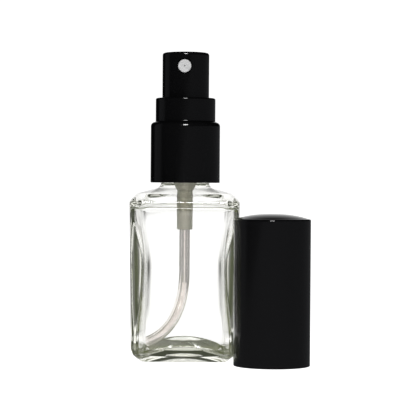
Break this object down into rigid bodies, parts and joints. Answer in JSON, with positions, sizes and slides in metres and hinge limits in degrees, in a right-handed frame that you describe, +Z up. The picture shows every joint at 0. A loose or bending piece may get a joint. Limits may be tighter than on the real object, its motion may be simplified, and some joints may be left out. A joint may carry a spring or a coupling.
{
  "type": "aftershave bottle",
  "caption": "Square clear glass aftershave bottle with a black screw-on fine-mist pump, dip tube and a tall black overcap standing beside it.",
  "frame": {"origin": "middle of the glass bottle's flat underside, on the surface that it stands on", "axes": "+Z up along the neck and the pump, -Y the way the nozzle sprays, +X to the right as seen from the front"},
  "size_m": [0.0509, 0.0465, 0.0883],
  "materials": {
    "clear_glass": "clear, thick-walled, polished",
    "gloss_black": "moulded, glossy black",
    "cap_black": "moulded, glossy black",
    "pale_grey_plastic": "fine matt texture",
    "translucent_plastic": "milky, translucent",
    "tube_plastic": "smooth, translucent",
    "white_plastic": "natural white",
    "grey_rubber": "dull",
    "steel": "bright drawn wire and polished ball"
  },
  "bodies": {
    "bottle": {"glass_bottle": "clear_glass"},
    "pump": {"pump_housing": "translucent_plastic", "stem_retainer": "white_plastic", "stem_seal": "grey_rubber", "neck_gasket": "grey_rubber", "dip_tube": "tube_plastic", "return_spring": "steel"},
    "closure": {"closure": "gloss_black"},
    "stem": {"stem": "white_plastic", "valve_spring": "steel"},
    "piston": {"piston": "pale_grey_plastic"},
    "check_ball": {"check_ball": "steel"},
    "actuator": {"actuator": "gloss_black", "nozzle_insert": "pale_grey_plastic"},
    "overcap": {"overcap": "cap_black"}
  },
  "joints": [
    {"name": "pump_lift", "type": "slide", "parent": "bottle", "child": "pump", "axis": [0, 0, 1], "range_m": [0, 0.00636]},
    {"name": "closure_turn", "type": "hinge", "parent": "pump", "child": "closure", "pos_m": [0, 0, 0.051], "axis": [0, 0, 1], "range_deg": [0, 720]},
    {"name": "actuator_press", "type": "slide", "parent": "pump", "child": "stem", "axis": [0, 0, -1], "range_m": [0, 0.004], "stiffness_N_per_m": 300, "deforming": ["return_spring"]},
    {"name": "piston_lift", "type": "slide", "parent": "stem", "child": "piston", "axis": [0, 0, 1], "range_m": [0, 0.0006], "deforming": ["valve_spring"]},
    {"name": "actuator_swivel", "type": "hinge", "parent": "stem", "child": "actuator", "pos_m": [0, 0, 0.08], "axis": [0, 0, 1], "continuous": true},
    {"name": "ball_lift", "type": "slide", "parent": "pump", "child": "check_ball", "axis": [0, 0, 1], "range_m": [0, 0.0008]},
    {"name": "overcap_lift", "type": "slide", "parent": "bottle", "child": "overcap", "axis": [0, 0, 1], "range_m": [0, 0.05]}
  ],
  "couplings": [
    {"joint": "pump_lift", "follows": "closure_turn", "m_per_rad": 0.00050532}
  ]
}
